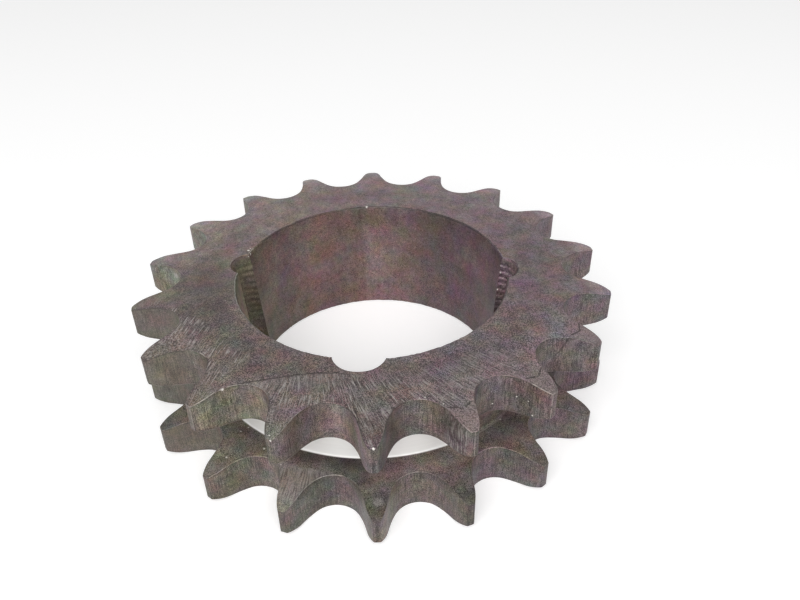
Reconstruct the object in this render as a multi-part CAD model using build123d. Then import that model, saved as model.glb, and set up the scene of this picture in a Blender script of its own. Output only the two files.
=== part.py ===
from build123d import *
from math import acos, asin, cos, degrees, radians, sin, sqrt, tan
import os

# Sprocket for two-strand roller chain, with a taper bore for a split clamping bush.
# It is turned and milled from one piece of steel: two rows of teeth joined by a short hub,
# with three half-holes round the bore for the bush's screws.
# It stands on its lower face with its axis on Z, the bore's large end up and a tooth at -Y.
# All lengths are in millimetres and all angles in degrees.

# Chain
teeth = 18
chain_pitch = 15.875
roller_diameter = 10.16
row_spacing = 18.11  # from the middle of one row of teeth to the middle of the other
tooth_width = 8.43  # across the flat sides of a row

# Tooth outline: a roller seat, a working curve, a short flat and a topping curve
seat_clearance = 0.064  # between a seated roller and the root of its gap
working_centre_share = 0.8  # of the roller diameter, from the roller's centre
topping_centre_share = 1.4  # of the roller diameter, from the roller's centre
tip_share = 0.6  # of the pitch, by which the tips rise over the sides of the pitch polygon

# Tooth sides, which curve in towards the tip to lead the chain on
relief_depth = 1.3  # taken off each side at the tip
relief_radius = 16.9

# Hub, between the rows
hub_wall = 7.4  # outside the bore's large end

# Taper bore
bore_large_diameter = 57.15
bore_half_angle = 4.0
bore_edge_break = 0.3

# Half-holes for the bush's screws, which have their other halves in the bush
screw_centre_inset = 1.575  # inside the bore's large end
tapped_hole_diameter = 7.94  # as drilled for the thread
jack_hole_diameter = 10.3
jack_hole_turn = -4.9  # from the tooth at -Y, seen from above
tapped_hole_turn = 95.6  # from the jack hole, to each side

# Worked out from the values above
half_step = 180 / teeth
pitch_radius = chain_pitch / 2 / sin(radians(half_step))
tip_radius = chain_pitch / 2 * (tip_share + 1 / tan(radians(half_step)))
seat_radius = roller_diameter / 2 + seat_clearance
seat_turn = 55 - 60 / teeth  # from the bottom of the gap to the end of the roller seat
working_turn = 18 - 56 / teeth  # along the working curve
relief_reach = sqrt(relief_depth * (2 * relief_radius - relief_depth))
overall_width = row_spacing + tooth_width
hub_radius = bore_large_diameter / 2 + hub_wall
screw_circle_radius = bore_large_diameter / 2 - screw_centre_inset


def along(angle, distance):
    """The point at a distance from the origin in a direction."""
    return Vector(distance * cos(radians(angle)), distance * sin(radians(angle)))


def row_section(middle):
    """Half section of one row, from the axis out to the tip circle."""
    low = middle - tooth_width / 2
    high = middle + tooth_width / 2
    start = tip_radius - relief_reach
    bend = degrees(asin(relief_reach / relief_radius))
    under = CenterArc((start, low + relief_radius), relief_radius, 270, bend)
    over = CenterArc((start, high - relief_radius), relief_radius, 90, -bend)
    tip = Line(under @ 1, over @ 1)
    sides = Polyline(under @ 0, (0, low), (0, high), over @ 0)
    return make_face(Curve() + [under, tip, over, sides])


def turned_blank():
    """Two rows on one hub, with a groove between them."""
    lower = row_section(tooth_width / 2)
    upper = row_section(tooth_width / 2 + row_spacing)
    hub = Pos(hub_radius / 2, overall_width / 2) * Rectangle(hub_radius, overall_width)
    return revolve(Plane.XZ * (lower + upper + hub), Axis.Z)


def bore_radius(height):
    """Radius of the taper bore at a height above the lower face."""
    return bore_large_diameter / 2 - (overall_width - height) * tan(radians(bore_half_angle))


def taper_bore():
    """The room that the bush fills, with the edge broken at each end."""
    low_edge = bore_edge_break
    high_edge = overall_width - bore_edge_break
    outline = Polyline(
        (0, 0),
        (bore_radius(0) + bore_edge_break, 0),
        (bore_radius(low_edge), low_edge),
        (bore_radius(high_edge), high_edge),
        (bore_radius(overall_width) + bore_edge_break, overall_width),
        (0, overall_width),
        close=True,
    )
    return revolve(Plane.XZ * make_face(outline), Axis.Z)


def screw_hole(angle, diameter):
    """A hole along the axis, of which the hub has one half."""
    hole = Cylinder(diameter / 2, overall_width, align=(Align.CENTER, Align.CENTER, Align.MIN))
    return Pos(*along(angle, screw_circle_radius)) * hole


def tooth_gap():
    """Outline of one gap about its roller's centre, with +Y away from the axis.

    Its curves meet with no corner. The topping curves end on the middle lines of the
    teeth, and from there the outline runs out past the tip circle.
    """
    seat = CenterArc((0, 0), seat_radius, 270, seat_turn)

    working_offset = working_centre_share * roller_diameter
    working_centre = along(90 + seat_turn, working_offset)
    working = CenterArc(
        working_centre, working_offset + seat_radius, 270 + seat_turn, working_turn
    )

    facing = seat_turn + working_turn - 90  # of the flat, towards the tooth
    topping_centre = along(-half_step, topping_centre_share * roller_diameter)
    rise = (topping_centre - working @ 1).dot(along(facing + 90, 1))
    flat = Line(working @ 1, working @ 1 + along(facing + 90, rise))
    topping_radius = (topping_centre - flat @ 1).length
    to_middle = topping_centre_share * roller_diameter - chain_pitch / 2
    peak = 180 - half_step - degrees(acos(to_middle / topping_radius))
    topping = CenterArc(topping_centre, topping_radius, 180 + facing, peak - 180 - facing)

    outside = Line(topping @ 1, topping @ 1 + along(90 - half_step, roller_diameter))
    side = Curve() + [seat, working, flat, topping, outside]
    other_side = mirror(side, Plane.YZ)
    lid = Line(outside @ 1, Vector(-(outside @ 1).X, (outside @ 1).Y))
    return make_face(side + other_side + lid)


def tooth_gaps():
    """All the gaps, cut straight through both rows."""
    gap = Pos(0, -pitch_radius) * mirror(tooth_gap(), Plane.XZ)
    turns = [half_step + 2 * half_step * number for number in range(teeth)]
    return extrude(Sketch() + [Rot(0, 0, turn) * gap for turn in turns], overall_width)


sprocket = turned_blank() - taper_bore() - tooth_gaps()
sprocket -= screw_hole(-90 + jack_hole_turn, jack_hole_diameter)
for side in (-1, 1):
    sprocket -= screw_hole(-90 + jack_hole_turn + side * tapped_hole_turn, tapped_hole_diameter)

os.makedirs("parts", exist_ok=True)
export_step(sprocket, "parts/sprocket.step")
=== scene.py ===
import math

import bpy
import numpy as np
from mathutils import Matrix, Vector, kdtree


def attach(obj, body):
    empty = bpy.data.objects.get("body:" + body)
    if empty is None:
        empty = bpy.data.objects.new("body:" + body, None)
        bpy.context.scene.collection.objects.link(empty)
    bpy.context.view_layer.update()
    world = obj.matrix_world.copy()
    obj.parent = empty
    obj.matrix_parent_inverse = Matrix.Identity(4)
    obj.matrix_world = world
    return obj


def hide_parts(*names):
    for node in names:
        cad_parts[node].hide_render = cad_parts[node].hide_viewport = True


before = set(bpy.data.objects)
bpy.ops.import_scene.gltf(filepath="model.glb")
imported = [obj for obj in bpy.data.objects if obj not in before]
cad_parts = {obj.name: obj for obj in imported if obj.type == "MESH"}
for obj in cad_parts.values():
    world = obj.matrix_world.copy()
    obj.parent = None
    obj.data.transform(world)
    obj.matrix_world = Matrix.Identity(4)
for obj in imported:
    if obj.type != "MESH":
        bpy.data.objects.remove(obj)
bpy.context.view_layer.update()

# The visual model of a chain sprocket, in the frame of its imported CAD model.
# Lengths are in millimetres and angles in degrees, but for what is placed in the scene, in metres.
# The whole sprocket is one mesh of rings. Each ring runs once round the axis with the same number of
# columns, and the rings follow one another round the section: out over the upper face, down the teeth
# of the upper row, in and out again through the groove, down the lower row, in under the lower face
# and up the bore. The threads of the two tapped half-holes are finer patches, sewn into the bore.

METRE = 0.001

# ---- sizes of the part

TEETH = 18
CHAIN_PITCH = 15.875
ROLLER_DIAMETER = 10.16
ROW_SPACING = 18.11
TOOTH_WIDTH = 8.43
SEAT_CLEARANCE = 0.064
WORKING_CENTRE_SHARE = 0.8
TOPPING_CENTRE_SHARE = 1.4
TIP_SHARE = 0.6
RELIEF_DEPTH = 1.3
RELIEF_RADIUS = 16.9
HUB_WALL = 7.4
BORE_LARGE_DIAMETER = 57.15
BORE_HALF_ANGLE = 4.0
BORE_EDGE_BREAK = 0.3
SCREW_CENTRE_INSET = 1.575
TAPPED_HOLE_DIAMETER = 7.94
JACK_HOLE_DIAMETER = 10.3
JACK_HOLE_ANGLE = -94.9
TAPPED_HOLE_TURN = 95.6

HALF_STEP = 180 / TEETH
PITCH_RADIUS = CHAIN_PITCH / 2 / math.sin(math.radians(HALF_STEP))
TIP_RADIUS = CHAIN_PITCH / 2 * (TIP_SHARE + 1 / math.tan(math.radians(HALF_STEP)))
SEAT_RADIUS = ROLLER_DIAMETER / 2 + SEAT_CLEARANCE
SEAT_TURN = 55 - 60 / TEETH
WORKING_TURN = 18 - 56 / TEETH
RELIEF_REACH = math.sqrt(RELIEF_DEPTH * (2 * RELIEF_RADIUS - RELIEF_DEPTH))
WIDTH = ROW_SPACING + TOOTH_WIDTH
HUB_RADIUS = BORE_LARGE_DIAMETER / 2 + HUB_WALL
SCREW_CIRCLE_RADIUS = BORE_LARGE_DIAMETER / 2 - SCREW_CENTRE_INSET

# ---- finer features

GROOVE_FILLET = 0.55
EDGE_ROUNDING = 0.09  # of the teeth, on average
HOLE_EDGE_BREAKS = (0.16, 0.42, 0.22)  # of the plain half-hole and of the right and left tapped ones
CORNER_SMOOTHING = 0.11  # of the tooth outline, which rounds the corners of the tips
SHARP_ANGLE = 38  # between two faces, beyond which their common edge is shaded sharp

THREAD_PITCH = 25.4 / 16
THREAD_CORNERS = (0, 0.25, 0.40, 0.5625, 0.6875, 0.84)  # of the thread's form, in pitches
THREAD_CREST = 0.25  # in pitches
THREAD_FLANK = 0.3125
THREAD_HALF_TURN = 80  # round the hole from the middle of a thread's row to its end
THREAD_MARGIN = 0.15  # kept free of rows at each end
THREAD_DEPTHS = (0.26, 0.18)  # of the right and the left hole, as far as grime leaves them open

OUTLINE_STEP = 0.02
COLUMNS_PER_TOOTH = 58
TIP_COLUMN_WEIGHT = 1.5  # how much closer together the columns are on a tip
HOLE_COLUMNS = {"tapped": 44, "jack": 36}
HOLE_REGION_COLUMNS = {"tapped": 40, "jack": 46}  # to each side of the hole's middle
WALL_STEPS = 8
BORE_STEPS = 10
UPPER_BANDS = (("face", 13), ("groove", 6))  # of a row's upper and lower side, and their rings
LOWER_BANDS = (("groove", 6), ("face", 8))
# How far in and how far down the rings of an edge or a corner lie, as shares of its size.
ROUNDED = [(1 - math.sin(turn), 1 - math.cos(turn)) for turn in np.radians([0, 30, 60, 90])]
BROKEN = [(1.15, 0), (0.8, 0.12), (0.12, 0.8), (0, 1.15)]
FARTHEST = 4  # from an edge, beyond which the distance no longer counts

# ---- marks of hard use

# Edges are numbered from the top: upper row's upper and lower edge, lower row's upper and lower edge.
DINGS = {  # of each edge: angle, radius, depth, spread
    0: [
        (-126.4, 44.1, 0.18, 0.4), (-127.6, 46.6, 0.1, 0.5), (-109.6, 49.7, 0.18, 0.5),
        (-107, 45.6, 0.12, 0.5), (-72.3, 45.4, 0.14, 0.6), (-71, 47.2, 0.12, 0.5),
        (-29.6, 49.7, 0.14, 0.5), (-91.2, 48.9, 0.12, 0.45), (61, 47.5, 0.15, 0.5),
        (128.5, 48.5, 0.14, 0.6),
    ],
    1: [(-107.7, 47, 0.12, 0.6)],
    2: [(-129.4, 44.6, 0.12, 0.4), (-89.5, 49.2, 0.12, 0.5), (88, 48, 0.15, 0.5)],
    3: [(10.5, 49.5, 0.16, 0.5)],
}
WORN_STRETCHES = {  # of each edge: from angle, to angle, from radius, to radius, bright or dark (-)
    0: [
        (-131, -124.6, 41.8, 43.2, 1), (-131, -124.6, 43.2, 43.8, -0.9),
        (-131, -124.6, 43.8, 44.6, 1), (-131, -124.6, 44.6, 45.2, -0.8),
        (-131, -124.6, 45.2, 50, 0.8), (-117, -115.5, 40.9, 42.4, 0.9),
        (-109.4, -106.3, 43.4, 47.6, 0.6), (-79.2, -76.2, 40, 41.2, 0.8),
        (-52.9, -50.2, 45.8, 49.8, 1), (-150.5, -146, 43.5, 50, -0.7),
        (-141.6, -138.9, 40, 41.6, 0.9), (-138.9, -135.8, 40, 43.5, -0.8),
        (-135.8, -133, 43.5, 46.5, -0.6), (-171, -165, 43, 50, -0.4),
        (-98, -91.8, 41.5, 49, -0.7), (-115.2, -110.7, 42.5, 49.8, -0.9),
        (-88.5, -82, 40, 46, -0.6), (-68.6, -62, 39.6, 45, -0.8),
    ],
    1: [(-109.6, -106, 45, 49.8, 0.8)],
    2: [(-105.5, -98, 40, 42, 0.7), (-129, -126.5, 45, 48.5, 0.15)],
    3: [],
}
RIM_WEAR_AND_GLINTS = [  # from angle, to angle round the bore's upper rim, bright or dark (-); the bright ones are partly rubbed wear and partly painted glints
    (-184, -146, 0.9), (-8.5, 0.5, -0.8), (4, 9.5, 0.45), (9.5, 15, 0.5),
    (103, 107, 0.4), (129, 133, 0.4), (157, 161.5, 1), (161.5, 171, 0.35),
]
NICKS_AND_GLINTS = [  # bright nicks and painted glints: angle, radius, height, size
    (-89.8, 49.7, 25.1, 0.32), (-78.4, 40.4, 26.5, 0.2), (-77, 40.5, 26.5, 0.18),
    (-73.6, 43, 26.5, 0.16), (-126.4, 44.1, 26.3, 0.3), (-133.2, 36.7, 8.43, 0.22),
    (-133.7, 38.4, 8.43, 0.2), (-123.2, 39, 8.43, 0.26), (-129.4, 44.6, 8.34, 0.28),
    (-115.8, 40.9, 8.43, 0.22), (-109.7, 49.8, 24.9, 0.22), (-110.2, 49.2, 25.5, 0.18),
    (-53.8, 43.7, 22.1, 0.2), (-58, 40.8, 19.95, 0.17), (-52.4, 46.8, 19, 0.24),
    (-52.7, 45.8, 21.9, 0.15), (-47.5, 36.6, 8.43, 0.24), (92.5, 28.9, 26.5, 0.34),
    (157.6, 29.4, 26.54, 0.2), (159.3, 29.4, 26.54, 0.34), (160.8, 28.6, 26.1, 0.32),
    (162.2, 28.7, 25.95, 0.2), (8.6, 29, 25.85, 0.24), (7.4, 29.9, 25.85, 0.22),
    (6.3, 30.2, 25.7, 0.2), (7.7, 29.6, 24.2, 0.22), (8.7, 28.4, 24.3, 0.2),
    (8.6, 28.5, 22.5, 0.24), (9.1, 28.1, 17.9, 0.22), (9, 28, 16.2, 0.16),
]
STROKE_FAN = (-11, -38, 26)  # where the grinder's strokes lie along Y, and how fast they lean beside it
STROKE_LEAN = 0.28  # of the strokes on the left
STROKES = 4.4  # per millimetre
STROKE_LENGTH = 3.4
SCUFFED_TIPS = [(-70, 45.1, 3.0), (-50, 45.6, 2.6), (-29.5, 45.4, 2.6)]  # angle, radius, half turn
PALE_ARRISES = [-129.5, -70.0, -50.72]
RUST_SPOT = (-15.6, -40.5, 26.5)
PALE_SPOT = (0.3, -46.3, 8.2)
PALE_BRUISE = (-42.6, 4.1, 24.6)
PALE_STREAK = (9.5, 25.6, 8.8)
# Where a painted shade stands for a hollow in the right hole's mouth.
CAVITY_SHADE = (30.9, -1.2, 25.3)

# ---- colours and tones

METALLIC = 0.55
GRAIN_SCALE = 6.5
TINTS = 0.46

# The steel of each part of the surface, on the left and on the right. The groove's and the bore's are
# painted lighter than the rest, to make up for the shade that falls in them.
FACE_COLOURS = ((0.165, 0.128, 0.115), (0.182, 0.132, 0.140))
WALL_COLOURS = ((0.144, 0.122, 0.101), (0.140, 0.108, 0.111))
SHADE_LIFTED_GROOVE_COLOURS = ((0.225, 0.192, 0.160), (0.222, 0.176, 0.164))
SHADE_LIFTED_BORE_COLOURS = ((0.200, 0.148, 0.128), (0.196, 0.144, 0.152))
EVEN_WALL = (0.142, 0.128, 0.110)
# Near-white painted on the turned hub wall in front, as the glare of light on it.
GLARE_WHITE = (0.95, 0.94, 0.92)
# Dark dirt, also laid on as painted shade in a hollow and as a painted shadow along a step.
DIRT_AND_SHADE = (0.045, 0.036, 0.034)
SCORED = (0.42, 0.39, 0.37)
SCUFF = (0.34, 0.26, 0.255)
RUBBED = (0.46, 0.41, 0.37)
# The near-white of bare nicks, also used for painted glints and sparkle.
NICK_AND_GLINT = (0.85, 0.82, 0.76)
RUST = (0.26, 0.16, 0.13)
MOSS_TINT = (1.0, 1.15, 0.96)
COOL_TINT = (0.96, 1.04, 1.06)
PLUM_TINT = (1.0, 0.94, 0.99)
ROSE_TINT = (1.07, 0.96, 0.98)

# Lighter and darker areas: from angle, to angle, from radius or height, to radius or height, how much.
# An angle of 400 either way stands for no limit.
FACE_TONES = [  # by radius
    (-400, 400, 41, 60, 0.12), (-400, 400, 31.5, 36.5, -0.08), (-164, -148, 31, 41, -0.22),
    (-165, -130, 44.5, 60, -0.12), (-150, -101, 38.5, 60, 0.15), (-104, -83, 44, 60, -0.34),
    (-86, -10, 38, 45, 0.14), (-60, -48, 45.5, 60, -0.30), (-48, -8, 45, 60, -0.14),
    (0, 18, 31.5, 38, -0.12), (20, 38, 36.5, 45, -0.16), (80, 118, 34, 38, -0.10),
    (118, 145, 28, 43, 0.16), (145, 400, 38.5, 46, 0.18), (-400, -170, 43, 60, 0.28),
]
WALL_TONES = [  # by height
    (-121, -116, 17, 30, 0.24), (-106, -100.5, -5, 30, -0.28), (-100.5, -91, 17, 30, 0.36),
    (-86, -80.5, 17, 22, -0.20), (-76, -71.5, 17, 21, 0.35), (-70, -56, 17, 21.5, -0.24),
    (-42, -33, 17, 20.5, -0.30), (-121, -116, 2, 9, 0.50), (-91, -86, -5, 9, 0.22),
    (-72, -68, -5, 9, -0.25),
]
GROOVE_TONES = [  # by radius
    (-400, 400, 45.3, 60, -0.12), (-400, 400, 47.4, 60, -0.18), (-88, -52, 46.8, 60, -0.16),
    (-165, -147, 43, 60, -0.16), (-150, -125, 36, 38.5, -0.28), (-135, -125, 42.5, 45.5, 0.16),
    (-119, -103, 36, 60, 0.16), (-101, -91, 36, 43, -0.34), (-90, -84, 36, 43, -0.12),
    (-82, -65, 36, 41, 0.24), (-60, -51, 39.5, 43.5, 0.22),
]
BORE_TONES = [  # by height
    (4, 14, -5, 18, -0.13), (18, 46, 15, 30, 0.22), (76, 98, 22, 30, -0.24),
    (106, 148, -5, 11, -0.12), (142, 158, 19, 30, 0.18),
]

# ---- floor, lamps and camera, in metres, watts and degrees

FLOOR_SIZE = 4.0
FLOOR_COLOUR = 0.85
FLOOR_LIFT = 0.33  # how strongly the floor near the part shines, where a camera or a reflection sees it
FLOOR_FADE = (350, 1200)  # millimetres from the axis between which that rises to full white
WORLD_STRENGTH = 0.3  # of the light that the room throws on the part
LAMPS = {  # place, watts
    "front_lamp": ((-0.065, -0.740, 0.742), 11.1),
    "back_lamp": ((-0.137, 0.977, 0.359), 0.5),
}
LAMP_TARGET = (0, 0, 0.01)
LAMP_SIZE = (1.1, 0.7)
SENSOR_WIDTH = 36  # millimetres, like the lens
LENS = 35.18
CAMERA_PLACE = (0.003684, -0.138742, 0.118042)
CAMERA_TURN = -0.888
CAMERA_DIP = 35.51  # below level
CAMERA_ROLL = -1.393


def direction(angles):
    """Unit vectors at some angles."""
    turned = np.radians(angles)
    return np.stack([np.cos(turned), np.sin(turned)], axis=-1)


def arc(centre, radius, start, turn, count=400):
    """Points along an arc."""
    return centre + radius * direction(np.linspace(start, start + turn, count))


def wander(turns, knots, seed):
    """A smooth random value from -1 to 1 at some places (0 to 1) along a closed loop."""
    values = np.random.default_rng(seed).uniform(-1, 1, knots)
    place = turns % 1 * knots
    low = np.floor(place).astype(int)
    share = place - low
    share = share * share * (3 - 2 * share)
    return values[low % knots] * (1 - share) + values[(low + 1) % knots] * share


# ---- outline of the teeth

def tooth_side():
    """One side of a gap about the axis, with the gap's middle on +Y, out to the tooth's middle."""
    seat = arc((0, 0), SEAT_RADIUS, 270, SEAT_TURN)
    offset = WORKING_CENTRE_SHARE * ROLLER_DIAMETER
    working_centre = offset * direction(90 + SEAT_TURN)
    working = arc(working_centre, offset + SEAT_RADIUS, 270 + SEAT_TURN, WORKING_TURN)
    facing = SEAT_TURN + WORKING_TURN - 90
    topping_centre = TOPPING_CENTRE_SHARE * ROLLER_DIAMETER * direction(-HALF_STEP)
    rise = (topping_centre - working[-1]) @ direction(facing + 90)
    flat_end = working[-1] + rise * direction(facing + 90)
    flat = np.linspace(working[-1], flat_end, 100)
    topping_radius = np.linalg.norm(topping_centre - flat_end)
    topping = arc(topping_centre, topping_radius, 180 + facing, -40, 1000)
    side = np.vstack([seat, working, flat, topping]) + (0, PITCH_RADIUS)
    outside = np.hypot(side[:, 0], side[:, 1]) > TIP_RADIUS
    side = side[:np.argmax(outside)]
    tip_start = math.degrees(math.atan2(side[-1, 1], side[-1, 0]))
    tip = arc((0, 0), TIP_RADIUS, tip_start, 90 - HALF_STEP - tip_start, 60)
    return np.vstack([side, tip])


def outline_loop():
    """The closed outline of the teeth as evenly spaced points, with its corners slightly rounded."""
    side = tooth_side()
    angles = np.degrees(np.arctan2(side[:, 0], side[:, 1]))
    radii = np.hypot(side[:, 0], side[:, 1])
    gap_angles = np.concatenate([-angles[:0:-1], angles[:-1]])
    gap_radii = np.concatenate([radii[:0:-1], radii[:-1]])
    turns = [2 * HALF_STEP * number for number in range(TEETH)]
    points = np.vstack([gap_radii[:, None] * direction(gap_angles + turn - 180) for turn in turns])
    points = np.vstack([points, points[:1]])
    lengths = np.concatenate([[0], np.cumsum(np.linalg.norm(np.diff(points, axis=0), axis=1))])
    count = int(round(lengths[-1] / OUTLINE_STEP / TEETH)) * TEETH
    even = np.linspace(0, lengths[-1], count, endpoint=False)
    waves = np.fft.fftfreq(count, d=lengths[-1] / count) * 2 * math.pi
    soften = np.exp(-0.5 * (waves * CORNER_SMOOTHING) ** 2)
    loop = [np.interp(even, lengths, points[:, axis]) for axis in (0, 1)]
    return np.stack([np.fft.ifft(np.fft.fft(line) * soften).real for line in loop], axis=1)


class Columns:
    """Where the columns of the mesh stand on the outline of the teeth."""

    def __init__(self):
        self.outline = outline_loop()
        tangent = np.roll(self.outline, -1, axis=0) - np.roll(self.outline, 1, axis=0)
        tangent /= np.linalg.norm(tangent, axis=1)[:, None]
        radii = np.hypot(self.outline[:, 0], self.outline[:, 1])
        weight = 1 + TIP_COLUMN_WEIGHT * np.clip((radii - TIP_RADIUS + 0.5) / 0.4, 0, 1)
        share = np.concatenate([[0], np.cumsum(weight)])
        share /= share[-1]
        self.count = COLUMNS_PER_TOOTH * TEETH
        wanted = np.arange(self.count) / self.count
        place = np.interp(wanted, share, np.arange(len(radii) + 1))
        nearest = np.round(place).astype(int) % len(radii)
        self.points = self.outline[nearest]
        self.normals = np.stack([tangent[nearest, 1], -tangent[nearest, 0]], axis=1)
        self.turns = nearest / len(radii)
        self.angles = np.degrees(np.unwrap(np.arctan2(self.points[:, 1], self.points[:, 0])))
        window = np.arange(-COLUMNS_PER_TOOTH // 2, COLUMNS_PER_TOOTH // 2)
        tiled = np.concatenate([self.angles - 360, self.angles, self.angles + 360])
        middle = np.arange(self.count) + self.count
        self.even_angles = np.mean([tiled[middle + step] for step in window], axis=0)

    def inside(self, distance):
        """The outline's points moved in from the edge."""
        return self.points - distance[:, None] * self.normals


# ---- bore and half-holes

class HalfHole:
    """One half-hole of the bore, and the columns of the mesh that run over it."""

    def __init__(self, kind, angle, diameter, columns):
        self.kind = kind
        self.angle = angle
        self.radius = diameter / 2
        offset = (columns.even_angles - angle + 180) % 360 - 180
        self.middle = int(np.argmin(np.abs(offset)))
        self.half = HOLE_COLUMNS[kind] // 2
        self.reach = HOLE_REGION_COLUMNS[kind]
        self.span = range(self.middle - self.half, self.middle + self.half + 1)
        ends = (self.middle - self.reach, self.middle + self.reach)
        self.region = [offset[end % columns.count] for end in ends]

    def half_angle(self, bore, radius):
        """Angle about the axis from the hole's middle to where it meets the bore."""
        centre = SCREW_CIRCLE_RADIUS
        cosine = (centre ** 2 + bore ** 2 - radius ** 2) / (2 * centre * bore)
        return np.degrees(np.arccos(cosine))

    def end_turn(self, bore, radius):
        """Angle about the hole's own middle at which it meets the bore."""
        half = np.radians(self.half_angle(bore, radius))
        return np.degrees(np.arctan2(bore * np.sin(half), bore * np.cos(half) - SCREW_CIRCLE_RADIUS))

    def wall(self, turns, radii):
        """Points on the hole's wall at some turns about its middle."""
        along = SCREW_CIRCLE_RADIUS + radii * np.cos(np.radians(turns))
        across = radii * np.sin(np.radians(turns))
        outward = direction(self.angle)
        return along[..., None] * outward + across[..., None] * np.array([-outward[1], outward[0]])


def bore_radius(height):
    """Radius of the taper bore at a height above the lower face."""
    return BORE_LARGE_DIAMETER / 2 - (WIDTH - height) * math.tan(math.radians(BORE_HALF_ANGLE))


def bore_points(columns, holes, height, grow):
    """Where the columns meet the bore or a half-hole at a height, moved into the steel by grow."""
    bore = bore_radius(height)
    angles = columns.even_angles.copy()
    for hole in holes:
        steps = hole.reach - hole.half
        for side, edge, limit in ((-1, hole.span[0], hole.region[0]), (1, hole.span[-1], hole.region[1])):
            corner = edge % columns.count
            start = hole.half_angle(bore + grow[corner], hole.radius + grow[corner])
            for step in range(steps + 1):
                share = step / steps
                index = (edge + side * step) % columns.count
                angles[index] = hole.angle + side * start * (1 - share) + limit * share
    points = (bore + grow)[:, None] * direction(angles)
    for hole in holes:
        for index in hole.span:
            column = index % columns.count
            radius = hole.radius + grow[column]
            turn = hole.end_turn(bore + grow[column], radius) * (index - hole.middle) / hole.half
            points[column] = hole.wall(turn, radius)
    return points


# ---- the section

def relief(points):
    """How far the sides of a row curve in at some points."""
    past = np.maximum(np.hypot(points[:, 0], points[:, 1]) - (TIP_RADIUS - RELIEF_REACH), 0)
    return RELIEF_RADIUS - np.sqrt(RELIEF_RADIUS ** 2 - past ** 2)


def ring(points, heights, near, worn=0):
    """One ring: the columns' points and heights, how near an edge is, and how worn that edge is."""
    values = [np.broadcast_to(value, len(points)) for value in (heights, near, worn)]
    return np.column_stack([points] + values)


class Section:
    """Gathers the rings of the mesh in order, and the material of the band after each ring."""

    def __init__(self, columns):
        self.columns = columns
        self.rings = []
        self.bands = []
        outline = columns.outline[::10]
        self.edges = kdtree.KDTree(len(outline))
        for number, (x, y) in enumerate(outline):
            self.edges.insert((x, y, 0), number)
        self.edges.balance()

    def add(self, band, points, heights, near, worn=0):
        self.rings.append(ring(points, heights, near, worn))
        self.bands.append(band)

    def drop_last(self):
        self.rings.pop()
        self.bands.pop()

    def face(self, inner, outer, level, side, shares, worn, band):
        """Rings across a side of a row, from its inner points to its outer ones or back."""
        for share in shares:
            points = inner + (outer - inner) * share
            near = [self.edges.find((x, y, 0))[2] for x, y in points]
            self.add(band, points, level - side * relief(points), np.minimum(near, FARTHEST), worn)

    def rounding(self, level, side, size, worn, outward, band):
        """Rings over a tooth's edge, from the side of the row to the wall, or back."""
        for across, down in ROUNDED if outward else ROUNDED[::-1]:
            points = self.columns.inside(size * across)
            self.add(band, points, level - side * (relief(points) + size * down), 0, worn)
        if outward:
            self.bands[-1] = "wall"

    def wall(self, high, low, worn):
        """Rings down the teeth's walls, between the two rings at their ends."""
        for share in np.arange(1, WALL_STEPS) / WALL_STEPS:
            middle = high * (1 - share) + low * share
            heights = middle[:, 2]
            near = np.minimum(np.minimum(high[:, 2] - heights, heights - low[:, 2]), FARTHEST)
            self.add("wall", middle[:, :2], heights, near, worn[0] if share < 0.5 else worn[1])

    def fillet(self, level, side, inward):
        """Rings through the corner between a row's side and the hub, which stands in the groove."""
        for across, down in ROUNDED[1:] if inward else ROUNDED[:0:-1]:
            points = (HUB_RADIUS + GROOVE_FILLET * across) * direction(self.columns.angles)
            self.add("groove", points, level - side * GROOVE_FILLET * down, FARTHEST)

    def bore_edge(self, holes, level, side, sizes, worn, inward):
        """Rings over the broken edge at one end of the bore."""
        for across, down in BROKEN if inward else BROKEN[::-1]:
            middle = level - side * np.mean(sizes) * down
            points = bore_points(self.columns, holes, middle, sizes * across)
            self.add("bore", points, level - side * sizes * down, 0, worn)

    def row(self, middle, sizes, wear, inner_high, inner_low, bands):
        """Both sides and the wall of one row of teeth, from its upper side to its lower one."""
        (high_band, high_count), (low_band, low_count) = bands
        high = middle + TOOTH_WIDTH / 2
        low = middle - TOOTH_WIDTH / 2
        outer = [self.columns.inside(size) for size in sizes]
        self.face(inner_high, outer[0], high, 1, falling_shares(high_count), wear[0], high_band)
        self.rounding(high, 1, sizes[0], wear[0], True, high_band)
        points = self.columns.points
        end = ring(points, low + relief(points) + sizes[1], 0)
        self.wall(self.rings[-1], end, wear)
        self.rounding(low, -1, sizes[1], wear[1], False, low_band)
        self.face(inner_low, outer[1], low, -1, falling_shares(low_count)[::-1], wear[1], low_band)


def falling_shares(count):
    """Shares from 0 towards 1 that come closer together near 1, which itself is left out."""
    return [1 - (1 - step / count) ** 1.6 for step in range(count)]


def edge_sizes(columns):
    """Size of the rounding of each of the four edges of the teeth, at each column."""
    sizes = []
    for edge, dings in DINGS.items():
        broad = wander(columns.turns, 130, 11 + edge)
        fine = wander(columns.turns, 700, 21 + edge)
        size = EDGE_ROUNDING * (1 + 0.4 * broad + 0.3 * fine)
        for angle, radius, depth, spread in dings:
            distance = np.linalg.norm(columns.points - radius * direction(angle), axis=1)
            size = size + depth * np.exp(-(distance / spread) ** 2)
        sizes.append(size)
    return sizes


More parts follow.
